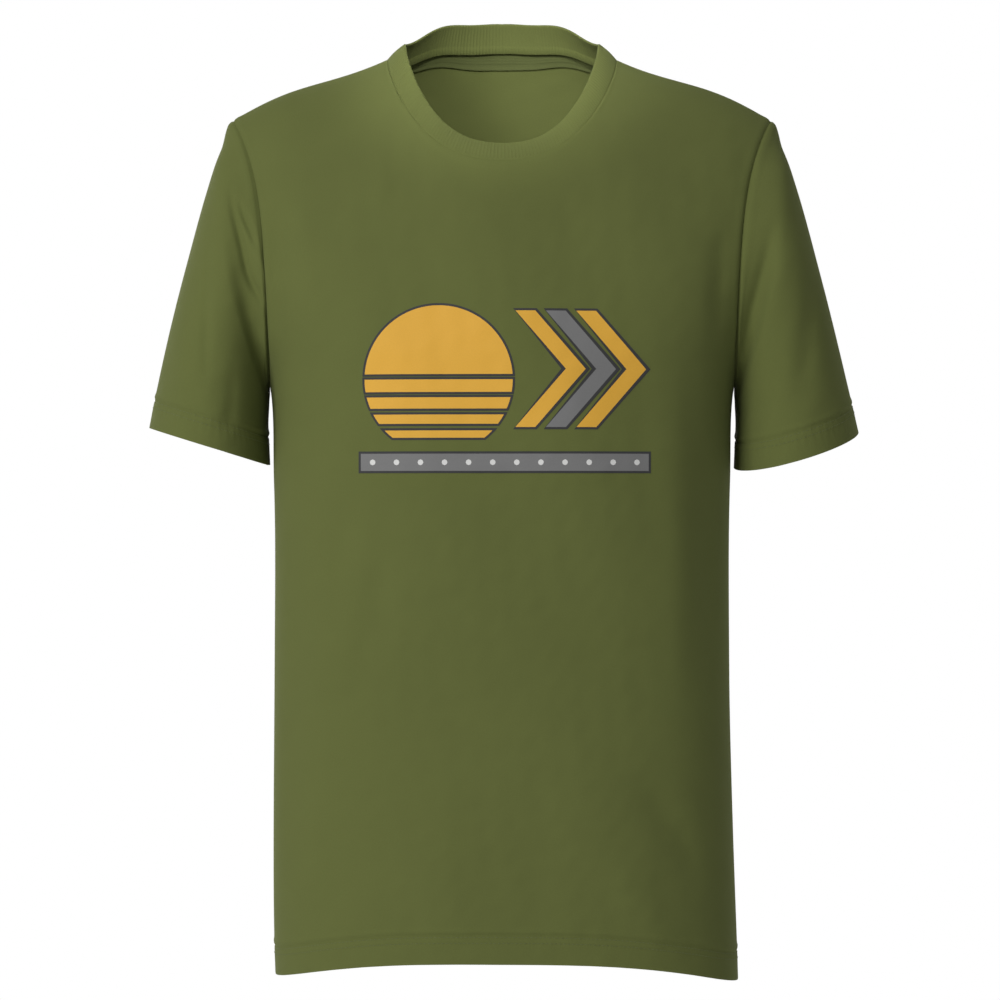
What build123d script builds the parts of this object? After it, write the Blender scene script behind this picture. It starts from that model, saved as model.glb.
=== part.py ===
from build123d import *

import functools
import math
import os

# A short-sleeved crew-neck T-shirt of light cotton jersey, in the shape it has when worn.
#
# The frame is in millimetres: +Z up, -Y towards the front, +X towards the wearer's left.
# The origin is the middle of the neck opening, at the height where the collar seam crosses the
# shoulder seams. The shirt is two body halves, two sleeves, a ribbed collar, turned hems and
# the inside tapes, each a thin shell cut from nested forms of the worn shape.

# Cloth
jersey = 1.0  # one layer of body and sleeve cloth, uncompressed
rib_layer = 1.0  # one layer of collar rib, and the collar is folded double

# Body, measured on the worn shirt at the middle of each height
hem_height = -720.0  # at the side seams
hem_half_width = 181.0
hem_front_depth = 116.0
hem_back_depth = 108.0
waist_height = -480.0
waist_half_width = 178.0
waist_front_depth = 112.0
waist_back_depth = 97.0
rib_cage_height = -330.0
rib_cage_half_width = 178.5
rib_cage_front_depth = 118.0
rib_cage_back_depth = 101.0
chest_height = -235.0
chest_half_width = 186.0
chest_front_depth = 121.0
chest_back_depth = 105.0
chest_spread = 0.29  # how fast the sides widen upwards at the chest line
hem_rise = 20.0  # how far the hem lifts in the middle
hem_trim = 6.0  # cut off the body forms at the side seams to give the hem its line
plan_fullness = 2.5  # exponent of the rounded plan outline, 2 is an ellipse

# Shoulders
shoulder_half_width = 224.0  # where the body form ends, inside the sleeve
shoulder_slope = 0.44
neck_half_width = 90.0  # collar seam to the middle, at the shoulder seam
neck_flare_radius = 40.0  # how gently the shoulder line turns up towards the neck
nape_rise = 36.0  # how far the line goes on rising towards the back of the neck
nape_reach = 50.0
front_neck_fullness = 1.4  # side outline from the chest up, at the middle of the front
front_tip_fullness = 2.1  # the same at the shoulder tip
back_fullness = 2.3

# Neck opening, to the collar seam
neck_front_depth = 85.0
neck_back_depth = 62.0

# Armhole seam seen from the front: its distance from the middle is the narrowest half width,
# plus what it gains towards the shoulder, plus what it gains in the scoop under the arm
armhole_half_width = 180.0
armhole_shoulder_gain = 28.5
armhole_shoulder_height = -52.0
armhole_shoulder_reach = 51.0
armhole_scoop_gain = 2.0
armhole_scoop_height = -262.0
armhole_scoop_reach = 8.0

# Sleeves: the underarm and outer point of each oval across the sleeve, seen from the front,
# and half its depth. The last is the sleeve's hem.
sleeve_ovals = [
    ((182.5, -264.0), (220.5, -71.0), 62.0),
    ((183.0, -273.0), (232.5, -106.0), 67.0),
    ((183.5, -285.0), (246.5, -158.0), 70.0),
    ((183.0, -298.0), (261.0, -214.0), 71.0),
    ((182.5, -309.0), (271.5, -257.0), 71.0),
    ((182.0, -320.0), (279.5, -291.0), 70.0),
]
sleeve_start = ((164.0, -250.0), (190.0, -56.0))  # the form starts here, inside the body
start_narrowing = 0.9
sleeve_run_in = 10.0  # how far past its start the form is cut away

# Turned hems
body_hem_height = 22.0
sleeve_hem_height = 22.0

# Collar
rib_width = 19.0  # collar seam to the folded edge
rib_turn_in = 6.0  # seam allowance that hangs inside
front_lean = 45.0  # degrees above level at which the rib leaves the seam
side_lean = 43.0
nape_lean = 68.0

# Seams
seam_clearance = 0.2  # between the cut edge of the body cloth and the collar or a tape
neck_tape_width = 9.0
shoulder_tape_width = 10.0
shoulder_tape_ends = (99.5, 184.0)  # from the middle of the shirt

seam_top = -20.0  # the armhole cut starts above the shoulder
reach = 300.0  # past the shirt in every direction, for cuts that go right through

# How finely the curved surfaces are drawn
body_rows = 6  # from the hem to the chest line, and again from there to the shoulder
body_columns = 14  # from side seam to side seam
sleeve_columns = 12  # from the top of the sleeve round to the underarm
rib_spans = 8  # from the middle of the front round to the middle of the back
armhole_step = 10.0  # between the points of the armhole seam
halvings = 40  # of the range in which a point is searched for


def between(low, high, low_slope, high_slope, span, share):
    """A smooth curve through two values with the given slopes, at a share of the span."""
    t = share
    return (
        low * (2 * t**3 - 3 * t**2 + 1)
        + low_slope * span * (t**3 - 2 * t**2 + t)
        + high * (3 * t**2 - 2 * t**3)
        + high_slope * span * (t**3 - t**2)
    )


heights = [hem_height, waist_height, rib_cage_height, chest_height]
half_widths = [hem_half_width, waist_half_width, rib_cage_half_width, chest_half_width]
front_depths = [hem_front_depth, waist_front_depth, rib_cage_front_depth, chest_front_depth]
back_depths = [hem_back_depth, waist_back_depth, rib_cage_back_depth, chest_back_depth]


def measure(values, height, last_slope=0.0):
    """One body measure at a height, smooth through the four stations."""
    slopes = [0.0]
    for i in (1, 2):
        slopes.append((values[i + 1] - values[i - 1]) / (heights[i + 1] - heights[i - 1]))
    slopes.append(last_slope)
    i = max(0, min(2, sum(height > h for h in heights[1:3])))
    span = heights[i + 1] - heights[i]
    share = (height - heights[i]) / span
    return between(values[i], values[i + 1], slopes[i], slopes[i + 1], span, share)


def shoulder_line(x):
    """Height of the shoulder seam above a point across the body."""
    flare = math.hypot(neck_half_width, neck_flare_radius) - math.hypot(x, neck_flare_radius)
    rise = math.exp(-((x / nape_reach) ** 2)) - math.exp(-((neck_half_width / nape_reach) ** 2))
    return shoulder_slope * flare + nape_rise * rise


def rounded(angle, fullness):
    """Sine and cosine of an angle, pushed out to a fuller or flatter quarter than a circle's."""
    s, c = math.sin(angle), math.cos(angle)
    k = (abs(s) ** fullness + abs(c) ** fullness) ** (-1 / fullness)
    return s * k, c * k


def body_point(across, up, front, inset):
    """A point of the body form. across runs -1 to 1, up runs 0 at the hem, 1 chest, 2 shoulder."""
    wide, deep = rounded(across * math.pi / 2, plan_fullness)
    depths, sign = (front_depths, -1) if front else (back_depths, 1)
    if up <= 1:
        z = hem_height + (chest_height - hem_height) * up
        half_width = measure(half_widths, z, chest_spread)
        x = (half_width - inset) * wide
        return Vector(x, sign * (measure(depths, z) - inset) * deep, z)
    middle = front_neck_fullness if front else back_fullness
    tip = front_tip_fullness if front else back_fullness
    lift, shrink = rounded((up - 1) * math.pi / 2, middle + (tip - middle) * across**2)
    half_width = chest_half_width + (shoulder_half_width - chest_half_width) * (1 - (1 - lift) ** 2)
    x = (half_width - inset) * wide
    top = shoulder_line(x) - inset
    y = sign * (depths[-1] - inset) * deep * shrink
    return Vector(x, y, chest_height + (top - chest_height) * lift)


def last_true(test):
    """The share from 0 to 1 up to which a test holds, for a test that fails from there on."""
    low, high = 0.0, 1.0
    for _ in range(halvings):
        middle = (low + high) / 2
        low, high = (middle, high) if test(middle) else (low, middle)
    return low


def body_height(x, y):
    """Height of the outside of the cloth over a point of the plan, above the chest line."""
    front = y < 0

    def at(up):
        across = last_true(lambda share: body_point(share, up, front, 0.0).X < x)
        return body_point(across, up, front, 0.0)

    return at(1 + last_true(lambda share: abs(at(1 + share).Y) > abs(y))).Z


def armhole_x(z):
    """Distance of the armhole seam from the middle of the shirt at a height."""
    shoulder = math.exp((z - armhole_shoulder_height) / armhole_shoulder_reach)
    scoop = math.exp((armhole_scoop_height - z) / armhole_scoop_reach)
    return armhole_half_width + armhole_shoulder_gain * shoulder + armhole_scoop_gain * scoop


@functools.cache
def armhole_curve(front, spans):
    """Points of the left armhole, evenly turned from straight up to straight down."""

    def inside(across, up):
        point = body_point(across, up, front, 0.0)
        return point.X < armhole_x(point.Z)

    def at(up):
        return body_point(last_true(lambda across: inside(across, up)), up, front, 0.0)

    def angle(up):
        point = at(up)
        return math.atan2(abs(point.Y), point.Z - middle)

    lowest = last_true(lambda up: inside(1.0, up))
    middle = (at(lowest).Z + at(2.0).Z) / 2
    span = 2 - lowest
    points = []
    for i in range(spans + 1):
        turn = math.pi * i / spans
        points.append(at(lowest + span * last_true(lambda share: angle(lowest + span * share) > turn)))
    return points


def filled_half(grid):
    """The solid between a curved skin through the points and the plane y = 0 that it meets."""
    skin = Face.make_surface_from_array_of_points(grid, min_deg=3, max_deg=3)
    ends = [edge for edge in skin.edges() if abs((edge @ 0.5).Y) > 1]
    sides = [edge for edge in skin.edges() if abs((edge @ 0.5).Y) <= 1]
    chords = [Edge.make_line(end @ 0, end @ 1) for end in ends]
    caps = [Face(Wire([end, chord])) for end, chord in zip(ends, chords)]
    return Solid(Shell([skin, Face(Wire(sides + chords)), *caps]))


@functools.cache
def body_half(front, inset):
    """The front or back half of the worn body as a filled form, from under the hem upwards."""
    first = -hem_trim / (chest_height - hem_height)
    lower = [first + (1 - first) * i / body_rows for i in range(body_rows)]
    upper = [1 + i / body_rows for i in range(body_rows + 1)]
    across = [2 * j / body_columns - 1 for j in range(body_columns + 1)]
    return filled_half([[body_point(s, u, front, inset) for s in across] for u in lower + upper])


def body_form(inset):
    """Both halves of the worn body as one filled form."""
    with BuildPart() as form:
        add(body_half(True, inset))
        add(body_half(False, inset))
    return form.part


def sleeve_plane(underarm, outer):
    """The plane across the sleeve through both points, with its x axis towards the outer one."""
    line = Vector(outer[0] - underarm[0], 0, outer[1] - underarm[1])
    middle = Vector((outer[0] + underarm[0]) / 2, 0, (outer[1] + underarm[1]) / 2)
    return Plane(origin=middle, x_dir=line, z_dir=(-line.Z, 0, line.X))


def armhole_seam(low):
    """The armhole seam in the front view, in the open line block, down to a height."""
    count = math.ceil((seam_top - low) / armhole_step)
    heights_down = [seam_top + (low - seam_top) * i / count for i in range(count + 1)]
    return Spline([(armhole_x(z), z) for z in heights_down])


def beyond_armhole():
    """All that the left armhole cuts off the body, straight through front to back."""
    with BuildPart() as block:
        with BuildSketch(Plane.XZ.offset(-reach)):
            with BuildLine():
                seam = armhole_seam(armhole_scoop_height - armhole_scoop_reach)
                Polyline(seam @ 1, (reach, (seam @ 1).Y), (reach, seam_top), seam @ 0)
            make_face()
        extrude(amount=2 * reach)
    return block.part


def within_armhole():
    """All that the left armhole cuts off the inner end of the sleeve form."""
    low_x = sleeve_start[0][0] - sleeve_run_in
    with BuildPart() as block:
        with BuildSketch(Plane.XZ.offset(-reach)):
            with BuildLine():
                seam = armhole_seam(armhole_curve(True, 1)[-1].Z)
                drop = (seam @ 1).X - low_x
                Polyline(seam @ 1, (low_x, (seam @ 1).Y - drop), (low_x, seam_top), seam @ 0)
            make_face()
        extrude(amount=2 * reach)
    return block.part


def sleeve_grid(front):
    """Points on the outside of the sleeve form, a row for each section from the body outwards."""
    side = -1 if front else 1
    armhole = armhole_curve(front, sleeve_columns)
    top, bottom = armhole[0].Z, armhole[-1].Z
    (low_x, low_z), (high_x, high_z) = sleeve_start
    start = []
    for point in armhole:
        share = (point.Z - bottom) / (top - bottom)
        x, z = low_x + (high_x - low_x) * share, low_z + (high_z - low_z) * share
        start.append(Vector(x, point.Y * start_narrowing, z))
    grid = [start, armhole]
    for underarm, outer, half_depth in sleeve_ovals:
        plane = sleeve_plane(underarm, outer)
        half_height = math.dist(underarm, outer) / 2
        row = []
        for j in range(sleeve_columns + 1):
            turn = math.pi * j / sleeve_columns
            depth = Vector(0, side * half_depth * math.sin(turn), 0)
            row.append(plane.origin + plane.x_dir * (half_height * math.cos(turn)) + depth)
        grid.append(row)
    for row in grid:
        row[0].Y = row[-1].Y = 0.0
    return grid


@functools.cache
def sleeve_half(front, inset):
    """The front or back half of the left sleeve as a filled form, set in from its outside."""
    grid = sleeve_grid(front)
    side = Vector(0, -1 if front else 1, 0)
    *_, (underarm, outer, _) = sleeve_ovals
    ends = {0: sleeve_plane(*sleeve_start), len(grid) - 1: sleeve_plane(underarm, outer)}
    set_in = []
    for i, row in enumerate(grid):
        set_in.append([])
        for j, point in enumerate(row):
            outwards = ends[i].z_dir * -1 if i in ends else grid[i + 1][j] - grid[i - 1][j]
            if j == 0 or j == sleeve_columns:
                around = side if j == 0 else side * -1
            else:
                around = row[j + 1] - row[j - 1]
            normal = around.cross(outwards).normalized()
            normal = normal if front else normal * -1
            set_in[-1].append(point - normal * inset)
    with BuildPart() as form:
        add(filled_half(set_in))
        add(within_armhole(), mode=Mode.SUBTRACT)
    return form.part


def under_hem(lift):
    """All that lies under the hem, whose line bows up in the middle, raised by a lift."""
    radius = (hem_half_width**2 + hem_rise**2) / (2 * hem_rise)
    with BuildPart() as block:
        with BuildSketch(Plane.XZ.offset(-reach)):
            with Locations((0, hem_height + hem_rise - radius)):
                Circle(radius + lift)
        extrude(amount=2 * reach)
    return block.part


def neck_column(growth):
    """An upright column with the outline of the collar seam seen from above, grown outwards."""
    across = neck_half_width + growth
    with BuildPart() as column:
        with BuildSketch(Plane.XY.offset(chest_height)):
            with BuildLine():
                EllipticalCenterArc((0, 0), across, neck_front_depth + growth, 180, arc_size=180)
                EllipticalCenterArc((0, 0), across, neck_back_depth + growth, 0, arc_size=180)
            make_face()
        extrude(amount=2 * reach)
    return column.part


def above_hem(front):
    """What fills the body inside a single layer of cloth, down to the top of the turned hem."""
    with BuildPart() as form:
        add(body_half(front, jersey))
        add(under_hem(body_hem_height), mode=Mode.SUBTRACT)
    return form.part


def panel(front):
    """The front or back body cloth with its neckline, armholes and turned hem."""
    with BuildPart() as cloth:
        add(body_half(front, 0.0))
        add(above_hem(front), mode=Mode.SUBTRACT)
        add(body_half(front, 2 * jersey), mode=Mode.SUBTRACT)
        add(under_hem(0.0), mode=Mode.SUBTRACT)
        add(neck_column(0.0), mode=Mode.SUBTRACT)
        add(beyond_armhole(), mode=Mode.SUBTRACT)
        add(beyond_armhole().mirror(Plane.YZ), mode=Mode.SUBTRACT)
    return cloth.part


def sleeve():
    """The left sleeve with its turned hem, from the armhole seam outwards."""
    *_, (underarm, outer, _) = sleeve_ovals
    hem_top = sleeve_plane(underarm, outer).offset(sleeve_hem_height)
    with BuildPart() as cavity:
        add(sleeve_half(True, jersey))
        add(sleeve_half(False, jersey))
        split(bisect_by=hem_top, keep=Keep.TOP)
    with BuildPart() as cloth:
        add(sleeve_half(True, 0.0))
        add(sleeve_half(False, 0.0))
        add(cavity.part, mode=Mode.SUBTRACT)
        for front in (True, False):
            add(sleeve_half(front, 2 * jersey), mode=Mode.SUBTRACT)
    return cloth.part


def rib_corners(turn):
    """The corners of the collar's folded strip, cut across at an angle round the neck."""
    depth = neck_front_depth if turn < 0 else neck_back_depth
    x, y = neck_half_width * math.cos(turn), depth * math.sin(turn)
    out = Vector(math.cos(turn) / neck_half_width, math.sin(turn) / depth, 0).normalized()
    end_lean = front_lean if turn < 0 else nape_lean
    lean = math.radians(side_lean + (end_lean - side_lean) * math.sin(turn) ** 2)
    along = Vector(-math.cos(lean), math.sin(lean))
    inward = Vector(-math.sin(lean), -math.cos(lean))
    wall = 2 * rib_layer
    bevel = rib_layer / 2  # where the fold starts to turn, before and after the edge
    seam = Vector(-seam_clearance, body_height(x, y))
    bend = seam + Vector(-wall, -wall * math.tan((math.pi / 2 - lean) / 2))
    section = [
        Vector(seam.X, seam.Y - rib_turn_in),
        seam,
        seam + along * (rib_width - bevel),
        seam + along * rib_width + inward * bevel,
        seam + along * rib_width + inward * (wall - bevel),
        seam + along * (rib_width - bevel) + inward * wall,
        bend,
        Vector(bend.X, seam.Y - rib_turn_in),
    ]
    return [Vector(x, y, 0) + out * corner.X + Vector(0, 0, corner.Y) for corner in section]


def collar():
    """The ribbed neckband: a strip folded double, leaning in from the seam all round."""
    sections = [rib_corners(math.pi * (i / rib_spans - 0.5)) for i in range(rib_spans + 1)]
    along_x = [(1, 0, 0), (-1, 0, 0)]
    curves = [Edge.make_spline(points, tangents=along_x) for points in map(list, zip(*sections))]
    sides = [Face.make_surface_from_curves(a, b) for a, b in zip(curves, curves[1:] + curves[:1])]
    ends = [Face(Wire.make_polygon(section)) for section in (sections[0], sections[-1])]
    with BuildPart() as ring:
        add(Solid(Shell(sides + ends)))
        mirror(about=Plane.YZ)
    return ring.part


def neck_tape():
    """The strip that covers the collar seam inside the back of the neck."""
    with BuildPart() as tape:
        add(body_half(False, jersey + seam_clearance))
        add(neck_column(neck_tape_width), mode=Mode.INTERSECT)
        add(neck_column(seam_clearance), mode=Mode.SUBTRACT)
        add(body_half(False, 2 * jersey + seam_clearance), mode=Mode.SUBTRACT)
    return tape.part


def shoulder_tape():
    """The strip inside the left shoulder seam."""
    start, end = shoulder_tape_ends
    with BuildPart() as tape:
        with BuildSketch(Plane.XY.offset(chest_height / 2)):
            with Locations((start, 0)):
                Rectangle(end - start, shoulder_tape_width, align=(Align.MIN, Align.CENTER))
        extrude(amount=reach)
        add(body_form(jersey + seam_clearance), mode=Mode.INTERSECT)
        add(body_form(2 * jersey + seam_clearance), mode=Mode.SUBTRACT)
    return tape.part


pieces = {
    "front_panel": panel(front=True),
    "back_panel": panel(front=False),
    "left_sleeve": sleeve(),
    "neck_rib": collar(),
    "neck_tape": neck_tape(),
    "left_shoulder_tape": shoulder_tape(),
}
pieces["right_sleeve"] = pieces["left_sleeve"].mirror(Plane.YZ)
pieces["right_shoulder_tape"] = pieces["left_shoulder_tape"].mirror(Plane.YZ)

os.makedirs("parts", exist_ok=True)
for name, piece in pieces.items():
    piece.label = name
    export_step(piece, f"parts/{name}.step")
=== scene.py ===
import math

import bpy
import numpy as np
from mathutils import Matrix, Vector
from mathutils.bvhtree import BVHTree


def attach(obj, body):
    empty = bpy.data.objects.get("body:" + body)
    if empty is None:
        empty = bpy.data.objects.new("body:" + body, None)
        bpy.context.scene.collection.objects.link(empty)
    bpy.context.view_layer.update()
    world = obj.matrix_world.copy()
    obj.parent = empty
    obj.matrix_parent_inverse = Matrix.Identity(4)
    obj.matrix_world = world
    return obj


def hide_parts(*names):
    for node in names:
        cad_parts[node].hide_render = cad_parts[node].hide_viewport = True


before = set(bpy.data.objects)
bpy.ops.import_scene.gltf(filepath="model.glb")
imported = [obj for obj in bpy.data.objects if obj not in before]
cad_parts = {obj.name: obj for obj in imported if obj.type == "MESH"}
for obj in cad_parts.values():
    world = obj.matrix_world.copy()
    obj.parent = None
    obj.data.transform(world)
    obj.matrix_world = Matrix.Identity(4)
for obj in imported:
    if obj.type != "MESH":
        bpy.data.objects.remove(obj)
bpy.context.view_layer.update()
print("frame loaded:", sorted(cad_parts))

# Forms are worked out in millimetres, +Z up, -Y to the front, and turned to metres in newMesh
mm = 0.001
sharpFrom = 50.0  # degrees between faces at which an edge shows sharp

bodyForm = {  # the worn body; lists run up from the hem to the chest line
    "heights": (-720.0, -480.0, -330.0, -235.0),
    "halfWidths": (181.0, 178.0, 178.5, 186.0),
    "frontDepths": (116.0, 112.0, 118.0, 121.0),
    "backDepths": (108.0, 97.0, 101.0, 105.0),
    "chestSpread": 0.29,  # how fast the sides widen at the chest line
    "hemRise": 21.5,
    "hemFlatness": 3.0,  # 2 would be a parabola
    "crownRise": 8.5,  # fullness over the ends of the shoulders
    "crownAt": 175.0,
    "crownReach": 52.0,
    "backNeckRise": 14.5,  # fullness beside the nape, on the back alone
    "backNeckAt": 52.0,
    "backNeckReach": 28.0,
    "planFullness": 2.5,  # 2 would be an ellipse
    "shoulderHalfWidth": 224.0,
    "shoulderSlope": 0.44,
    "neckHalfWidth": 90.0,
    "neckFrontDepth": 85.0,
    "neckBackDepth": 62.0,
    "neckFlareRadius": 40.0,
    "napeRise": 36.0,
    "napeReach": 50.0,
    "frontNeckFullness": 1.4,
    "frontTipFullness": 2.1,
    "backFullness": 2.3,
}
armholeForm = {  # the armhole seam seen from the front
    "halfWidth": 180.0,
    "shoulderGain": 28.5,
    "shoulderHeight": -52.0,
    "shoulderReach": 51.0,
    "scoopGain": 2.0,
    "scoopHeight": -262.0,
    "scoopReach": 8.0,
}
fineness = {  # how many points each line is drawn with before the grid takes its own
    "halvings": 34, "armhole": 400, "seam": 60, "ridge": 80, "neck": 120, "hem": 200,
}


def rounded(angle, fullness):
    s, c = np.sin(angle), np.cos(angle)
    k = (np.abs(s) ** fullness + np.abs(c) ** fullness) ** (-1 / fullness)
    return s * k, c * k


def cubic(t, span, values, slopes, i):
    # a smooth curve between the stations i and i + 1
    low = values[i] * (2 * t**3 - 3 * t**2 + 1) + slopes[i] * span * (t**3 - 2 * t**2 + t)
    return low + values[i + 1] * (3 * t**2 - 2 * t**3) + slopes[i + 1] * span * (t**3 - t**2)


def measure(values, height, lastSlope=0.0):
    # one body measure at a height, smooth through the four stations
    heights, values = np.array(bodyForm["heights"]), np.array(values)
    inner = (values[2:] - values[:-2]) / (heights[2:] - heights[:-2])
    slopes = np.array([0.0, *inner, lastSlope])
    i = np.searchsorted(heights[1:3], height)
    span = heights[i + 1] - heights[i]
    return cubic((height - heights[i]) / span, span, values, slopes, i)


def hump(distance, middle, width):
    return np.exp(-(((distance - middle) / width) ** 2))


def shoulderLine(x, front):
    f = bodyForm
    flare = math.hypot(f["neckHalfWidth"], f["neckFlareRadius"]) - np.hypot(x, f["neckFlareRadius"])
    rise = hump(x, 0, f["napeReach"]) - hump(f["neckHalfWidth"], 0, f["napeReach"])
    line = f["shoulderSlope"] * flare + f["napeRise"] * rise
    line = line + f["crownRise"] * hump(np.abs(x), f["crownAt"], f["crownReach"])
    if front:
        return line
    inNeck = np.clip(1 - (x / f["neckHalfWidth"]) ** 8, 0, 1)
    return line + f["backNeckRise"] * hump(np.abs(x), f["backNeckAt"], f["backNeckReach"]) * inNeck


def bodyPoint(across, up, front):
    # across runs from -1 to 1 between the side seams, up 0 at the hem, 1 at the chest line, 2 on the shoulder
    f = bodyForm
    across, up = np.broadcast_arrays(np.asarray(across, float), np.asarray(up, float))
    side, depths = (-1, f["frontDepths"]) if front else (1, f["backDepths"])
    middle, tip = (f["frontNeckFullness"], f["frontTipFullness"]) if front else (f["backFullness"],) * 2
    hem, chest, chestHalf = f["heights"][0], f["heights"][3], f["halfWidths"][3]
    wide, deep = rounded(across * math.pi / 2, f["planFullness"])
    lowZ = hem + (chest - hem) * np.minimum(up, 1)
    low = (measure(f["halfWidths"], lowZ, f["chestSpread"]) * wide, side * measure(depths, lowZ) * deep, lowZ)
    lift, shrink = rounded(np.clip(up - 1, 0, 1) * math.pi / 2, middle + (tip - middle) * across**2)
    highX = (chestHalf + (f["shoulderHalfWidth"] - chestHalf) * (1 - (1 - lift) ** 2)) * wide
    high = (highX, side * depths[3] * deep * shrink, chest + (shoulderLine(highX, front) - chest) * lift)
    return np.stack([np.where(up > 1, b, a) for a, b in zip(low, high)], -1)


def lastTrue(test, shape=()):
    # the share from 0 to 1 up to which a test holds
    low, high = np.zeros(shape), np.ones(shape)
    for _ in range(fineness["halvings"]):
        middle = (low + high) / 2
        good = test(middle)
        low, high = np.where(good, middle, low), np.where(good, high, middle)
    return low


def armholeX(z):
    a = armholeForm
    shoulder = a["shoulderGain"] * np.exp((z - a["shoulderHeight"]) / a["shoulderReach"])
    return a["halfWidth"] + shoulder + a["scoopGain"] * np.exp((a["scoopHeight"] - z) / a["scoopReach"])


def domainAt(x, y, front):
    # across and up of the body over points of the plan
    x, y = np.broadcast_arrays(np.asarray(x, float), np.asarray(y, float))

    def acrossAt(up):
        return lastTrue(lambda share: bodyPoint(share, up, front)[..., 0] < np.abs(x), x.shape)

    def deepEnough(share):
        up = 1 + share
        return np.abs(bodyPoint(acrossAt(up), up, front)[..., 1]) > np.abs(y)

    up = 1 + lastTrue(deepEnough, x.shape)
    return acrossAt(up) * np.sign(x), up


def bodyOver(x, y, front):
    return bodyPoint(*domainAt(x, y, front), front)


def frontOrBackOver(x, y):
    return np.where((y < 0)[..., None], bodyOver(x, y, True), bodyOver(x, y, False))


def armholeCurve(front):
    # the left armhole from the shoulder down to the underarm: across, up, points and turn
    def inside(across, up):
        point = bodyPoint(across, up, front)
        return point[..., 0] < armholeX(point[..., 2])

    lowest = float(lastTrue(lambda up: inside(1.0, up)))
    up = lowest + (2 - lowest) * (0.5 + 0.5 * np.cos(np.linspace(0, math.pi, fineness["armhole"])))
    across = lastTrue(lambda share: inside(share, up), up.shape)
    points = bodyPoint(across, up, front)
    middle = (points[0, 2] + points[-1, 2]) / 2
    turn = np.arctan2(np.abs(points[:, 1]), points[:, 2] - middle)
    return across, up, points, turn


armholes = {front: armholeCurve(front) for front in (True, False)}
print("armholes drawn")


# How the cloth falls
folds = {  # height outwards, width, and the points of the line as x and z
    "front": [
        (-3.4, 3.0, [(-212, -92), (-208, -118), (-201, -146), (-195, -172), (-186, -190), (-177, -212)]),
        (-2.8, 2.6, [(-204, -110), (-200, -124), (-192, -142), (-186, -160)]),
        (1.8, 4.5, [(-199, -128), (-190, -148), (-182, -170), (-178, -190)]),
        (1.2, 10, [(-219, -100), (-213, -140), (-205, -178), (-194, -215), (-186, -250)]),
        (-1.6, 4.5, [(-226, -140), (-227, -205), (-228, -275)]),
        (1.4, 8, [(-244, -180), (-247, -235), (-250, -290)]),
        (-1.3, 5, [(-205, -232), (-208, -270), (-211, -300)]),
        (-2.6, 7, [(-174, -112), (-171, -151), (-172, -200), (-170, -240)]),
        (1.8, 13, [(-160, -95), (-152, -150), (-150, -215)]),
        (-2.0, 12, [(-114, -330), (-123, -401), (-133, -460)]),
        (-2.0, 14, [(-82, -345), (-97, -426), (-111, -500)]),
        (-2.4, 12, [(-140, -370), (-158, -489), (-163, -700)]),
        (1.6, 7, [(-171, -300), (-168, -420), (-172, -560)]),
        (2.0, 9, [(225, -135), (212, -175), (201, -206), (194, -245), (191, -285)]),
        (-2.2, 5, [(213, -120), (203, -160), (192, -205), (184, -250)]),
        (-3.0, 9, [(245, -150), (236, -215), (228, -290)]),
        (-2.4, 8, [(172, -120), (166, -180), (165, -240)]),
        (3.4, 16, [(121, -225), (130, -310), (136, -400), (140, -560)]),
        (-3.2, 13, [(160, -260), (158, -380), (160, -520)]),
        (-3.0, 13, [(100, -545), (128, -595), (160, -655)]),
        (2.0, 16, [(80, -600), (105, -650), (120, -712)]),
        (1.4, 20, [(-60, -560), (-45, -640), (-50, -715)]),
        (-1.3, 18, [(20, -500), (28, -610), (18, -715)]),
        (1.0, 16, [(-118, -70), (-90, -120), (-60, -160)]),
        (1.0, 16, [(120, -70), (95, -125), (70, -165)]),
    ],
    "back": [
        (-2.6, 5, [(-212, -95), (-202, -140), (-190, -190)]),
        (-2.8, 5, [(214, -100), (204, -145), (188, -200)]),
        (-2.6, 8, [(-172, -110), (-165, -170), (-166, -235)]),
        (-2.4, 8, [(172, -115), (166, -175), (165, -235)]),
        (-3.4, 13, [(-150, -210), (-120, -270), (-70, -330), (-10, -365)]),
        (2.8, 16, [(-165, -260), (-130, -330), (-80, -400)]),
        (-3.0, 14, [(152, -220), (118, -290), (70, -350), (20, -385)]),
        (2.6, 16, [(165, -280), (130, -350), (95, -430)]),
        (-2.8, 16, [(-60, -380), (-70, -520), (-62, -700)]),
        (2.8, 20, [(10, -400), (4, -540), (12, -705)]),
        (-2.8, 16, [(80, -400), (88, -540), (80, -700)]),
        (2.2, 16, [(-128, -430), (-136, -560), (-130, -705)]),
        (2.2, 15, [(130, -450), (138, -570), (134, -705)]),
        (-2.4, 8, [(-246, -170), (-240, -230), (-232, -290)]),
        (-2.6, 8, [(248, -165), (238, -225), (230, -290)]),
        (1.2, 18, [(-40, -75), (-70, -130), (-90, -200)]),
        (1.2, 18, [(42, -75), (68, -135), (86, -205)]),
    ],
}
slack = {  # the loose play of the cloth between the folds
    "seed": 11,
    "wide": {"waves": 7, "lengths": (110.0, 260.0), "height": 0.75},
    "fine": {"waves": 16, "lengths": (14.0, 46.0), "height": 0.045},
    "sideTurn": 30.0,  # how far from the side seam the front gives way to the back
    "foldSpans": 22,
    "foldEnds": 0.4,  # share of a fold's length over which each end fades out
    "swayFrom": -480.0,  # the body hangs a little aside and aslant below this height
    "sway": 3.7,
    "hemLift": 3.25,
    "hemTilt": -0.0124,
}


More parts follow.
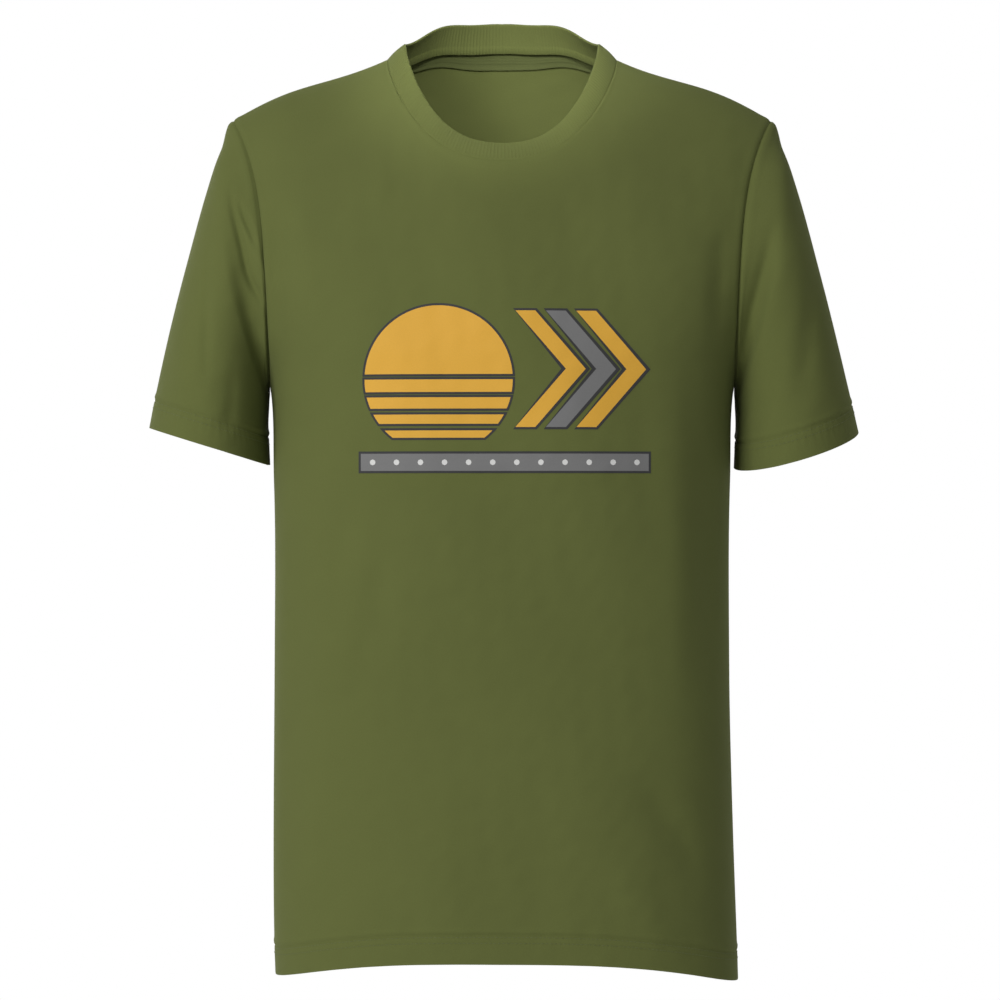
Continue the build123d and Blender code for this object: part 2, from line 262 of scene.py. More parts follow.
def smoothLine(points, spans):
    # a Catmull-Rom curve through a short list of points
    p = np.array([2 * np.array(points[0]) - points[1], *points, 2 * np.array(points[-1]) - points[-2]], float)
    t = np.linspace(0, len(points) - 1, spans + 1)
    i = np.minimum(t.astype(int), len(points) - 2)
    u = (t - i)[:, None]
    a, b, c, d = p[i], p[i + 1], p[i + 2], p[i + 3]
    return 0.5 * (2 * b + (c - a) * u + (2 * a - 5 * b + 4 * c - d) * u**2 + (3 * b - a - 3 * c + d) * u**3)


def foldHeight(x, z, fold):
    height, width, points = fold
    line = smoothLine(points, slack["foldSpans"])
    nearest, share = np.full(x.shape, np.inf), np.zeros(x.shape)
    for i, (start, end) in enumerate(zip(line[:-1], line[1:])):
        step = end - start
        t = np.clip(((x - start[0]) * step[0] + (z - start[1]) * step[1]) / (step @ step), 0, 1)
        away = np.hypot(x - start[0] - t * step[0], z - start[1] - t * step[1])
        share = np.where(away < nearest, (i + t) / slack["foldSpans"], share)
        nearest = np.minimum(nearest, away)
    fade = np.sin(math.pi * np.clip(np.minimum(share, 1 - share) / slack["foldEnds"], 0, 1) / 2) ** 2
    return height * fade * hump(nearest, 0, width)


def makeWaves():
    chance = np.random.default_rng(slack["seed"])
    waves = {}
    for side in ("front", "back"):
        waves[side] = []
        for size in ("wide", "fine"):
            for _ in range(slack[size]["waves"]):
                length = chance.uniform(*slack[size]["lengths"])
                heading, phase = chance.uniform(0, math.pi), chance.uniform(0, 2 * math.pi)
                waves[side].append((length, heading, phase, slack[size]["height"]))
    return waves


waves = makeWaves()


def reliefOf(x, z, side):
    total = sum(foldHeight(x, z, fold) for fold in folds[side])
    for length, heading, phase, height in waves[side]:
        along = x * math.cos(heading) + z * math.sin(heading)
        total = total + height * np.sin(2 * math.pi * along / length + phase)
    return total


def drape(points):
    # one fall for the whole shirt, so that pieces still meet along their seams
    x, y, z = np.moveaxis(points, -1, 0)
    frontShare = 0.5 - 0.5 * np.tanh(y / slack["sideTurn"])
    out = points.copy()
    out[..., 1] += (1 - frontShare) * reliefOf(x, z, "back") - frontShare * reliefOf(x, z, "front")
    low = np.clip((slack["swayFrom"] - z) / (slack["swayFrom"] - bodyForm["heights"][0]), 0, 1) ** 2
    out[..., 0] += slack["sway"] * low
    out[..., 2] += (slack["hemLift"] + slack["hemTilt"] * x) * low
    return out


def gridNormals(points, centres, loop=False):
    if loop:
        along = np.roll(points, -1, 1) - np.roll(points, 1, 1)
    else:
        along = np.gradient(points, axis=1)
    normals = np.cross(along, np.gradient(points, axis=0))
    normals /= np.maximum(np.linalg.norm(normals, axis=-1, keepdims=True), 1e-9)
    return normals if np.mean(np.sum(normals * (points - centres), -1)) > 0 else -normals


def runAlong(points, axis):
    # distance in millimetres along the grid lines from their start
    steps = np.linalg.norm(np.diff(points, axis=axis), axis=-1)
    return np.concatenate([np.zeros_like(np.take(steps, [0], axis)), np.cumsum(steps, axis)], axis)


def valuesAt(at, known, values):
    # each column of the values, read between the places where it is known
    return np.stack([np.interp(at, known, column) for column in np.transpose(values)], -1)


def gridQuads(index):
    return np.stack([index[:-1, :-1], index[:-1, 1:], index[1:, 1:], index[1:, :-1]], -1).reshape(-1, 4)


def newMesh(name, points, faces, uv=None):
    # uv has the place on the cloth, in millimetres, of every corner of every face
    mesh = bpy.data.meshes.new(name)
    mesh.from_pydata((points.reshape(-1, 3) * mm).tolist(), [], faces)
    layer = mesh.uv_layers.new(name="cloth")
    if uv is not None:
        layer.data.foreach_set("uv", (uv * mm).reshape(-1))
    mesh.shade_smooth()
    return mesh


def makePiece(name, outer, inner, uv, material, loop=False):
    # a closed shell between two grids of points, with rims where they end
    rows, columns = outer.shape[:2]
    index = np.arange(rows * columns).reshape(rows, columns)
    if loop:
        index = np.concatenate([index, index[:, :1]], 1)
    skin = gridQuads(index)
    under = skin[:, ::-1] + rows * columns
    edges = [index[0], index[-1][::-1]] if loop else [
        np.concatenate([index[0], index[1:, -1], index[-1][::-1][1:], index[::-1, 0][1:]])]
    rims = [np.stack([e[1:], e[:-1], e[:-1] + rows * columns, e[1:] + rows * columns], -1) for e in edges]
    points = np.concatenate([outer.reshape(-1, 3), inner.reshape(-1, 3)])
    quads = np.concatenate([skin, under, *rims])
    a, b, c = (outer.reshape(-1, 3)[skin[:, k]] for k in (0, 1, 3))
    lean = np.sum(np.cross(b - a, c - a) * (a - inner.reshape(-1, 3)[skin[:, 0]]))
    if lean < 0:
        quads = quads[:, ::-1]
    both = np.concatenate([uv.reshape(-1, 2), uv.reshape(-1, 2)])
    mesh = newMesh(name, points, quads.tolist(), both[quads.reshape(-1)])
    mesh.set_sharp_from_angle(angle=math.radians(sharpFrom))
    return finishPiece(name, mesh, material)


def finishPiece(name, mesh, material):
    piece = bpy.data.objects.new(name, mesh)
    bpy.context.scene.collection.objects.link(piece)
    mesh.materials.append(material)
    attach(piece, "root")
    return piece


# Materials
def srgb(red, green, blue):
    def linear(value):
        share = value / 255
        return share / 12.92 if share <= 0.04045 else ((share + 0.055) / 1.055) ** 2.4
    return (linear(red), linear(green), linear(blue), 1.0)


class Nodes:  # short calls for building a node tree
    def __init__(self, tree):
        self.tree = tree

    def feed(self, node, inputs):
        for key, value in inputs.items():
            if isinstance(value, bpy.types.NodeSocket):
                self.tree.links.new(value, node.inputs[key])
            else:
                node.inputs[key].default_value = value

    def add(self, kind, inputs=None, **settings):
        node = self.tree.nodes.new(kind)
        for key, value in settings.items():
            setattr(node, key, value)
        self.feed(node, inputs or {})
        return node

    def math(self, operation, *values):
        return self.add("ShaderNodeMath", dict(enumerate(values)), operation=operation).outputs[0]


def emptyNodes(owner):
    owner.use_nodes = True
    owner.node_tree.nodes.clear()
    return Nodes(owner.node_tree)


def makeGroup(name, inputs, outputs):
    group = bpy.data.node_groups.new(name, "ShaderNodeTree")
    for label, kind, value in inputs:
        socket = group.interface.new_socket(label, in_out="INPUT", socket_type=kind)
        if value is not None:
            socket.default_value = value
    for label, kind in outputs:
        group.interface.new_socket(label, in_out="OUTPUT", socket_type=kind)
    nodes = Nodes(group)
    return group, nodes, nodes.add("NodeGroupInput").outputs, nodes.add("NodeGroupOutput")


grain = {
    "fleck": {"Scale": 900.0, "Detail": 3.0, "Roughness": 0.6},
    "cloud": {"Scale": 26.0, "Detail": 4.0, "Roughness": 0.55},
    "bumpDepth": 0.0002,
    "sheenRoughness": 0.6,
}


def makeHeather():
    # uneven dye and fibre: a colour and a fine height that change over the cloth
    group, n, given, out = makeGroup(
        "heather",
        [("Cloth", "NodeSocketVector", None), ("Colour", "NodeSocketColor", (0.1, 0.1, 0.1, 1)),
         ("Fleck", "NodeSocketFloat", 0.1), ("Cloud", "NodeSocketFloat", 0.06)],
        [("Colour", "NodeSocketColor"), ("Height", "NodeSocketFloat")])
    fleck, cloud = (
        n.add("ShaderNodeTexNoise", {"Vector": given["Cloth"], **grain[size]}).outputs["Fac"]
        for size in ("fleck", "cloud"))
    fleckPart = n.math("MULTIPLY", n.math("SUBTRACT", fleck, 0.5), given["Fleck"])
    cloudPart = n.math("MULTIPLY", n.math("SUBTRACT", cloud, 0.5), given["Cloud"])
    gain = n.math("ADD", n.math("ADD", fleckPart, cloudPart), 1.0)
    scaled = n.add("ShaderNodeVectorMath", {0: given["Colour"], "Scale": gain}, operation="SCALE")
    n.feed(out, {"Colour": scaled.outputs[0], "Height": fleck})
    return group


def makeKnit():
    # the little V stitches of plain jersey, or the upright ribs of a rib knit
    group, n, given, out = makeGroup(
        "knit",
        [("Cloth", "NodeSocketVector", None), ("Wale", "NodeSocketFloat", 0.8),
         ("Course", "NodeSocketFloat", 0.6), ("Rib", "NodeSocketFloat", 0.0)],
        [("Height", "NodeSocketFloat")])
    parts = n.add("ShaderNodeSeparateXYZ", {"Vector": given["Cloth"]})
    wale = n.math("DIVIDE", n.math("MULTIPLY", parts.outputs["X"], 1000.0), given["Wale"])
    course = n.math("DIVIDE", n.math("MULTIPLY", parts.outputs["Y"], 1000.0), given["Course"])
    leg = n.math("ABSOLUTE", n.math("SINE", n.math("MULTIPLY", wale, math.pi)))
    slant = n.math("ADD", course, n.math("MULTIPLY", leg, 0.5))
    stitch = n.math("MULTIPLY", n.math("SINE", n.math("MULTIPLY", slant, 2 * math.pi)), 0.5)
    plain = n.math("ADD", n.math("MULTIPLY", stitch, leg), leg)
    rib = n.math("MULTIPLY", n.math("SINE", n.math("MULTIPLY", wale, math.pi)), given["Rib"])
    n.feed(out, {"Height": n.math("ADD", plain, rib)})
    return group


heather, knit = makeHeather(), makeKnit()


def clothMaterial(name, look):
    material = bpy.data.materials.new(name)
    n = emptyNodes(material)
    cloth = n.add("ShaderNodeUVMap", uv_map="cloth").outputs["UV"]

    def grouped(group, keys):
        values = {key: look[key.lower()] for key in keys}
        return n.add("ShaderNodeGroup", {"Cloth": cloth, **values}, node_tree=group).outputs

    dye = grouped(heather, ("Colour", "Fleck", "Cloud"))
    stitches = grouped(knit, ("Wale", "Course", "Rib"))
    fibre = n.add("ShaderNodeBump", {
        "Height": dye["Height"], "Strength": look["fuzz"], "Distance": grain["bumpDepth"]})
    bump = n.add("ShaderNodeBump", {
        "Height": stitches["Height"], "Strength": look["relief"], "Distance": grain["bumpDepth"],
        "Normal": fibre.outputs["Normal"]})
    shader = n.add("ShaderNodeBsdfPrincipled", {
        "Base Color": dye["Colour"], "Roughness": look["roughness"], "Normal": bump.outputs["Normal"],
        "Specular IOR Level": look["specular"], "Sheen Weight": look["sheen"],
        "Sheen Roughness": grain["sheenRoughness"], "Sheen Tint": look["sheenTint"]})
    n.add("ShaderNodeOutputMaterial", {"Surface": shader.outputs["BSDF"]})
    return material


olive = srgb(99, 106, 57)
jerseyLook = {
    "colour": olive, "fleck": 0.22, "cloud": 0.10, "wale": 0.8, "course": 0.62, "rib": 0.0,
    "fuzz": 0.25, "relief": 0.22, "roughness": 0.92, "specular": 0.18, "sheen": 0.10,
    "sheenTint": srgb(150, 158, 118),
}
ribLook = dict(jerseyLook, rib=1.6, wale=1.3, relief=0.3)
tapeLook = dict(jerseyLook, colour=srgb(92, 99, 57), course=1.1, wale=1.1, relief=0.5)
threadLook = dict(jerseyLook, colour=srgb(97, 104, 61), fleck=0.1, roughness=0.7, specular=0.35, relief=0.1)
materials = {
    "jersey": clothMaterial("olive jersey", jerseyLook),
    "rib": clothMaterial("olive collar rib", ribLook),
    "tape": clothMaterial("olive seam tape", tapeLook),
    "thread": clothMaterial("olive thread", threadLook),
}


def inkMaterial(name, colour):
    # soft plastic ink: the knit still shows through, and the colour is a little uneven
    look = dict(jerseyLook, colour=colour, fleck=0.14, cloud=0.05, relief=0.16, fuzz=0.12, roughness=0.62,
                specular=0.3, sheen=0.0)
    return clothMaterial(name, look)


inks = {
    "yellow": inkMaterial("golden ink", srgb(226, 172, 62)),
    "charcoal": inkMaterial("charcoal ink", srgb(44, 44, 45)),
    "grey": inkMaterial("grey ink", srgb(118, 118, 118)),
    "light": inkMaterial("pale grey ink", srgb(222, 222, 220)),
}
print("materials made")


panelPlan = {  # front and back body cloth
    "thickness": 0.9,
    "hemHeight": 22.0,
    "sideRows": 128,
    "armholeRows": 112,
    "shoulderColumns": 40,
    "neckColumns": 45,
    "edgeGrading": 0.7,  # how much closer the grid lines lie along the edges
    "bottomShare": 0.5,  # share of the half hem that lies under the shoulder
    "sideHold": 6,  # how soon the grid lines let go of the side's shape
    "underarmSag": 0.2,  # how far they sag inwards of the underarm, so that none cross
    "seamDip": 0.9,
    "seamWidth": 1.4,
    "allowanceRise": 0.3,  # the seam allowance shows as a faint ridge beside the seam
    "allowanceAt": 5.0,
    "allowanceWidth": 3.0,
    "hemDip": 0.6,  # the stitched groove at the top of the hem
    "hemDipWidth": 1.3,
    "hemRidge": 0.55,
    "hemRidgeAbove": 3.2,
    "hemRidgeWidth": 2.0,
    "puckerLength": 6.5,
    "puckerHeight": 0.13,
    "puckerDrift": 31.0,  # over this length the puckers come closer and further apart
    "puckerBelow": 5.0,
    "puckerReach": 8.0,
}


def closer(count, edge):
    # shares from 0 to 1 that lie closer together at the start
    w = np.linspace(0, 1, count + 1)
    return w - edge * w * (1 - w)


def resample(path, points, shares):
    length = runAlong(points, 0)
    return valuesAt(shares * length[-1], length, path)


def panelDomain(front):
    # across and up of every grid point, blended between the four edges of the cut cloth
    p, f = panelPlan, bodyForm
    edge = p["edgeGrading"]
    armAcross, armUp, armPoints, _ = armholes[front]
    hemSpan = f["heights"][3] - f["heights"][0]

    def hemUp(across):
        x = bodyPoint(across, 0.0, front)[..., 0]
        return f["hemRise"] * (1 - (x / f["halfWidths"][0]) ** f["hemFlatness"]) / hemSpan

    seam = np.stack([np.ones(fineness["seam"]), np.linspace(0, armUp[-1], fineness["seam"])], 1)
    seam = resample(seam, bodyPoint(*seam.T, front), closer(p["sideRows"], edge))
    armhole = np.stack([armAcross, armUp], 1)
    armhole = resample(armhole, armPoints, closer(p["armholeRows"], edge))[::-1]
    side = np.concatenate([seam, armhole[1:]])
    neckAcross = float(domainAt(f["neckHalfWidth"], 0.0, front)[0])
    ridge = np.linspace(armAcross[0], neckAcross, fineness["ridge"])
    ridge = np.stack([ridge, np.full_like(ridge, 2.0)], 1)
    ridge = resample(ridge, bodyPoint(*ridge.T, front), closer(p["shoulderColumns"], edge))
    turn = np.linspace(0, math.pi / 2, fineness["neck"])
    depth = f["neckFrontDepth"] if front else f["neckBackDepth"]
    neck = np.stack(domainAt(f["neckHalfWidth"] * np.cos(turn), depth * np.sin(turn), front), 1)
    neck[0] = (neckAcross, 2.0)
    neck[-1, 0] = 0.0
    neck = resample(neck, bodyPoint(*neck.T, front), np.linspace(0, 1, p["neckColumns"] + 1))
    top = np.concatenate([ridge, neck[1:]])
    shares = np.concatenate([closer(p["shoulderColumns"], edge) * p["bottomShare"],
                             np.linspace(p["bottomShare"], 1, p["neckColumns"] + 1)[1:]])
    across = np.linspace(1, 0, fineness["hem"])
    bottom = np.stack([across, hemUp(across)], 1)
    bottom = resample(bottom, bodyPoint(*bottom.T, front), shares)
    flip = np.array([-1, 1])
    top = np.concatenate([top, top[-2::-1] * flip])[::-1]
    bottom = np.concatenate([bottom, bottom[-2::-1] * flip])[::-1]
    left, right = side * flip, side
    s = np.concatenate([shares / 2, 1 - shares[-2::-1] / 2])[None, :, None]
    below = np.sin(np.linspace(0, math.pi / 2, p["sideRows"] + 1)) ** 2
    sag = p["underarmSag"] * np.concatenate([below, np.linspace(1, 0, p["armholeRows"] + 1)[1:]])
    t = ((side[:, 1] - sag) / 2)[:, None, None]
    grid = (1 - t) * bottom[None] + t * top[None]
    near = (1 - s) ** p["sideHold"], s ** p["sideHold"]
    grid = grid + near[0] * (left[:, None] - grid[:, :1]) + near[1] * (right[:, None] - grid[:, -1:])
    return grid[..., 0], grid[..., 1]


def seamRelief(distance):
    p = panelPlan
    ridge = p["allowanceRise"] * hump(distance, p["allowanceAt"], p["allowanceWidth"])
    return ridge - p["seamDip"] * hump(distance, 0, p["seamWidth"])


def hemRelief(distance, run):
    # a ridge over a stitched groove, and small puckers in the turned cloth under it
    p = panelPlan
    ridge = p["hemRidge"] * hump(distance, p["hemHeight"] + p["hemRidgeAbove"], p["hemRidgeWidth"])
    groove = p["hemDip"] * hump(distance, p["hemHeight"], p["hemDipWidth"])
    wobble = np.sin(2 * math.pi * run / p["puckerLength"] + 2 * np.sin(run / p["puckerDrift"]))
    puckers = p["puckerHeight"] * wobble * hump(distance, p["hemHeight"] - p["puckerBelow"], p["puckerReach"])
    return ridge - groove + puckers


def clothThickness(hemDistance):
    return panelPlan["thickness"] * (1 + (hemDistance < panelPlan["hemHeight"]))


panels = {}


def makePanel(name, front):
    points = drape(bodyPoint(*panelDomain(front), front))
    axis = points * np.array([0, 0, 1])
    normals = gridNormals(points, axis)
    fromLeft, fromHem = runAlong(points, 1), runAlong(points, 0)
    sideDistance = np.minimum(fromLeft, fromLeft[:, -1:] - fromLeft)
    relief = seamRelief(sideDistance) + seamRelief(fromHem[-1:] - fromHem) + hemRelief(fromHem, fromLeft)
    outer = points + normals * relief[..., None]
    inner = outer - gridNormals(outer, axis) * clothThickness(fromHem)[..., None]
    uv = np.stack([fromLeft - fromLeft[:, -1:] / 2, fromHem], -1)
    piece = makePiece(name, outer, inner, uv, materials["jersey"])
    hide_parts(name.replace("_cloth", ""))
    panels[front] = (outer, inner, fromHem)
    return piece


frontCloth = makePanel("front_panel_cloth", True)
backCloth = makePanel("back_panel_cloth", False)
print("body cloth made")


sleevePlan = {
    "ovals": [  # underarm point, outer point, half depth; the last is the hem
        ((182.5, -264.0), (220.5, -71.0), 62.0),
        ((183.0, -273.0), (232.5, -106.0), 67.0),
        ((183.5, -285.0), (246.5, -158.0), 70.0),
        ((183.0, -298.0), (261.0, -214.0), 71.0),
        ((182.5, -309.0), (271.5, -257.0), 71.0),
        ((182.0, -320.0), (279.5, -291.0), 70.0),
    ],
    "start": ((164.0, -250.0), (190.0, -50.0)),
    "narrowing": 0.9,
    "hemBows": {"left": 8.5, "right": 0.0},  # how far the front of the hem hangs below a straight line
    "hemShifts": {"left": (0.0, 0.0), "right": (-3.0, 2.5)},  # outwards and up
    "bowFrom": 0.45,  # the bow and the shift start at this share of the sleeve's length
    "tuckIn": 3.0,  # how far the sleeve goes in under the edge of the body cloth
    "rows": 116,
    "columns": 104,  # for each half
    "edgeGrading": 0.7,
}


def sleeveRows():
    turn = np.linspace(0, math.pi, sleevePlan["columns"] + 1)
    halves = []
    for front in (True, False):
        side = -1 if front else 1
        _, _, points, turns = armholes[front]
        armhole = valuesAt(turn, turns, points)
        (lowX, lowZ), (highX, highZ) = sleevePlan["start"]
        share = (armhole[:, 2] - armhole[-1, 2]) / (armhole[0, 2] - armhole[-1, 2])
        start = np.stack([lowX + (highX - lowX) * share, armhole[:, 1] * sleevePlan["narrowing"],
                          lowZ + (highZ - lowZ) * share], 1)
        rows = [start, armhole]
        for underarm, outer, halfDepth in sleevePlan["ovals"]:
            line = np.array([outer[0] - underarm[0], 0, outer[1] - underarm[1]]) / 2
            middle = np.array([outer[0] + underarm[0], 0, outer[1] + underarm[1]]) / 2
            depth = np.array([0, side * halfDepth, 0])
            rows.append(middle + np.cos(turn)[:, None] * line + np.sin(turn)[:, None] * depth)
        halves.append(np.array(rows))
    return np.concatenate([halves[0], halves[1][:, -2:0:-1]], 1)


def through(rows, at, shares):
    # smooth curves down the columns, through every row
    slopes = np.empty_like(rows)
    slopes[1:-1] = (rows[2:] - rows[:-2]) / (at[2:] - at[:-2])[:, None, None]
    slopes[0] = (rows[1] - rows[0]) / (at[1] - at[0])
    slopes[-1] = (rows[-1] - rows[-2]) / (at[-1] - at[-2])
    i = np.clip(np.searchsorted(at, shares) - 1, 0, len(at) - 2)
    span = (at[i + 1] - at[i])[:, None, None]
    return cubic((shares - at[i])[:, None, None] / span, span, rows, slopes, i)


sleeves = {}


def makeSleeve(name, mirror):
    p = sleevePlan
    rows = sleeveRows()
    steps = np.linalg.norm(np.diff(rows, axis=0), axis=-1).mean(1)
    at = np.concatenate([[0], np.cumsum(steps)])
    graded = closer(p["rows"] // 2, p["edgeGrading"]) / 2
    graded = np.concatenate([graded, 1 - graded[-2::-1]])
    begin = at[1] - p["tuckIn"]
    points = through(rows, at, begin + (at[-1] - begin) * graded)
    side = "right" if mirror else "left"
    turn = 2 * math.pi * np.arange(points.shape[1]) / points.shape[1]
    low = (np.clip((graded - p["bowFrom"]) / (1 - p["bowFrom"]), 0, 1) ** 2)[:, None]
    outwards, up = p["hemShifts"][side]
    points[..., 0] += low * outwards * (0.5 + 0.5 * np.cos(turn))
    points[..., 2] += low * (up - p["hemBows"][side] * np.clip(np.sin(turn), 0, 1))
    if mirror:
        points = points * np.array([-1, 1, 1])
    points = drape(points)
    centres = points.mean(1, keepdims=True)
    normals = gridNormals(points, centres, loop=True)
    fromArm = runAlong(points, 0)
    fromHem = fromArm[-1:] - fromArm
    around = runAlong(np.concatenate([points, points[:, :1]], 1), 1)[:, :-1]
    relief = hemRelief(fromHem, around)
    hidden = fromArm < p["tuckIn"]
    relief = relief + seamRelief(np.abs(fromArm - p["tuckIn"])) * ~hidden
    relief = relief - panelPlan["seamDip"] * hidden * (2 - fromArm / p["tuckIn"])
    underarm = np.abs(np.arange(points.shape[1]) - p["columns"])
    columnStep = around[:, 1:2] - around[:, :1]
    relief = relief - panelPlan["seamDip"] * hump(underarm * columnStep, 0, panelPlan["seamWidth"])
    outer = points + normals * relief[..., None]
    thick = clothThickness(fromHem)[..., None]
    inner = outer - gridNormals(outer, centres, loop=True) * thick
    piece = makePiece(name, outer, inner, np.stack([around, -fromArm], -1), materials["jersey"],
                      loop=True)
    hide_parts(name.replace("_cloth", ""))
    sleeves[name] = (outer, inner, fromHem)
    return piece


leftSleeve = makeSleeve("left_sleeve_cloth", mirror=False)
rightSleeve = makeSleeve("right_sleeve_cloth", mirror=True)
print("sleeves made")


collarPlan = {
    "width": 19.0,  # seam to folded edge
    "turnIn": 6.0,
    "wall": 2.0,
    "bulge": 0.7,
    "innerBulge": 0.35,
    "frontLean": 45.0,
    "sideLean": 43.0,
    "napeLean": 68.0,
    "columns": 480,
    "facePoints": 14,
    "foldPoints": 7,
    "startTurn": 1e-4,  # keeps the first column off the middle of the side
    "swayWaves": ((3, 0.15, 1.0), (7, 0.10, 0.0)),  # waves round the neck, height and phase
    "allowanceSag": 0.3,
    "sink": 0.3,
}


def collarSeam(turn):
    # points of the neckline on the body, round from the left shoulder over the nape
    f = bodyForm
    x = f["neckHalfWidth"] * np.cos(turn)
    y = np.where(np.sin(turn) < 0, f["neckFrontDepth"], f["neckBackDepth"]) * np.sin(turn)
    points = frontOrBackOver(x, y)
    points[..., :2] = np.stack([x, y], -1)
    return points


def makeCollar():
    c, f = collarPlan, bodyForm
    turn = np.linspace(0, 2 * math.pi, c["columns"], endpoint=False) + c["startTurn"]
    seam = drape(collarSeam(turn))
    sine = np.sin(turn)
    depth = np.where(sine < 0, f["neckFrontDepth"], f["neckBackDepth"])
    out = np.stack([np.cos(turn) / f["neckHalfWidth"], sine / depth], -1)
    out /= np.linalg.norm(out, axis=1, keepdims=True)
    endLean = np.where(sine < 0, c["frontLean"], c["napeLean"])
    lean = np.radians(c["sideLean"] + (endLean - c["sideLean"]) * sine**2)
    face = np.linspace(0, 1, c["facePoints"])
    fold = np.linspace(0, math.pi, c["foldPoints"] + 2)[1:-1]
    half = c["wall"] / 2
    reach = c["width"] - half
    # along the strip and in from its outer face, from the seam over the fold and back down
    strip = np.concatenate([
        np.stack([reach * face, -c["bulge"] * np.sin(math.pi * face)], 1),
        np.stack([reach + half * np.sin(fold), half * (1 - np.cos(fold))], 1),
        np.stack([reach * face[::-1], c["wall"] - c["innerBulge"] * np.sin(math.pi * face[::-1])], 1),
    ])
    sway = sum(height * np.sin(count * turn + phase) for count, height, phase in c["swayWaves"])
    along, inward = strip[:, :1], strip[:, 1:]
    outSteps = -along * np.cos(lean) - inward * np.sin(lean)
    upSteps = along * np.sin(lean) - inward * np.cos(lean) + sway * (along / c["width"])
    bend = c["wall"] * np.tan((math.pi / 2 - lean) / 2)
    hangOut = np.array([[-1.0], [-0.5], [0.0]]) * c["wall"] + 0 * lean
    hangUp = np.array([[0.0], [-c["allowanceSag"]], [0.0]]) - c["turnIn"] + 0 * lean
    outSteps[-1], upSteps[-1] = -c["wall"], -bend
    outSteps = np.concatenate([outSteps, hangOut])
    upSteps = np.concatenate([upSteps, hangUp])
    ring = seam[None] + np.concatenate([outSteps[..., None] * out, upSteps[..., None]], -1)
    ring[..., 2] -= c["sink"]
    count = len(ring)
    index = np.arange(ring[..., 0].size).reshape(ring.shape[:2])
    index = np.concatenate([index, index[:1]])
    index = np.concatenate([index, index[:, :1]], 1)
    quads = gridQuads(index)
    around = runAlong(np.concatenate([ring, ring[:, :1]], 1), 1)
    across = runAlong(np.concatenate([ring, ring[:1]]), 0)
    mean = around.mean(0)
    u = np.stack([mean[:-1], mean[1:], mean[1:], mean[:-1]], -1)[None].repeat(count, 0)
    v = np.stack([across[:-1], across[:-1], across[1:], across[1:]], -1)
    mesh = newMesh("neck_rib_cloth", ring, quads.tolist(), np.stack([u, v], -1))
    return finishPiece("neck_rib_cloth", mesh, materials["rib"])


collar = makeCollar()
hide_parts("neck_rib")
print("collar made")


tapePlan = {
    "neckWidth": 9.0,
    "shoulderWidth": 10.0,
    "shoulderEnds": (99.5, 184.0),
    "under": 1.6,  # below the outside of the cloth it is sewn to
    "thickness": 0.7,
    "stitchInset": 1.6,
    "stitchDip": 0.2,
    "stitchWidth": 0.45,
    "neckGap": 0.3,  # between the collar's seam and the tape
    "neckEnd": 0.01,  # the tape stops this turn short of the shoulder seams
    "rows": 26,
    "neckColumns": 220,
    "shoulderColumns": 60,
}


def makeTape(name, points, across, width, node):
    # rows run across the tape
    p = tapePlan
    normals = gridNormals(points, points - np.array([0, 0, 1.0]))
    dips = sum(hump(across, at, p["stitchWidth"]) for at in (p["stitchInset"], width - p["stitchInset"]))
    outer = points - normals * p["under"]
    inner = outer - normals * (p["thickness"] - p["stitchDip"] * dips)[..., None]
    uv = np.stack([runAlong(points, 1), across], -1)
    piece = makePiece(name, outer, inner, uv, materials["tape"])
    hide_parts(node)
    return piece


def makeTapes():
    p = tapePlan
    across = np.linspace(p["neckGap"], p["neckWidth"], p["rows"])
    turn = np.linspace(p["neckEnd"], math.pi - p["neckEnd"], p["neckColumns"])
    turn, spread = np.broadcast_arrays(turn[None], across[:, None])
    x = (bodyForm["neckHalfWidth"] + spread) * np.cos(turn)
    y = (bodyForm["neckBackDepth"] + spread) * np.sin(turn)
    points = drape(bodyOver(x, y, False))
    tapes = [makeTape("neck_tape_cloth", points, spread, p["neckWidth"], "neck_tape")]
    across = np.linspace(0, p["shoulderWidth"], p["rows"] + 1)
    y = across - p["shoulderWidth"] / 2
    x = np.linspace(*p["shoulderEnds"], p["shoulderColumns"])
    x, y = np.broadcast_arrays(x[None], y[:, None])
    points = frontOrBackOver(x, y)
    spread = np.broadcast_to(across[:, None], x.shape)
    for side, sign in (("left", 1), ("right", -1)):
        placed = drape(points * np.array([sign, 1, 1]))
        name = f"{side}_shoulder_tape"
        tapes.append(makeTape(name + "_cloth", placed, spread, p["shoulderWidth"], name))
    return tapes


tapes = makeTapes()
print("tapes made")


stitchPlan = {
    "length": 2.7,
    "gap": 0.6,
    "radius": 0.26,
    "rings": 5,
    "sides": 6,
    "tipSize": 0.05,
    "needleRows": (20.6, 16.2),  # heights of the two rows over the hem's edge
}


def hemLine(outer, inner, fromHem, height, loop):
    # points of the cloth at a height over the hem's edge, with the way out from the cloth
    points, outward = [], []
    for j in range(outer.shape[1]):
        order = np.argsort(fromHem[:, j])
        rise = fromHem[order, j]
        points.append(valuesAt(height, rise, outer[order, j]))
        outward.append(valuesAt(height, rise, (outer - inner)[order, j]))
    points, outward = np.array(points), np.array(outward)
    if loop:
        points, outward = (np.concatenate([a, a[:1]]) for a in (points, outward))
    return points, outward / np.linalg.norm(outward, axis=1, keepdims=True)


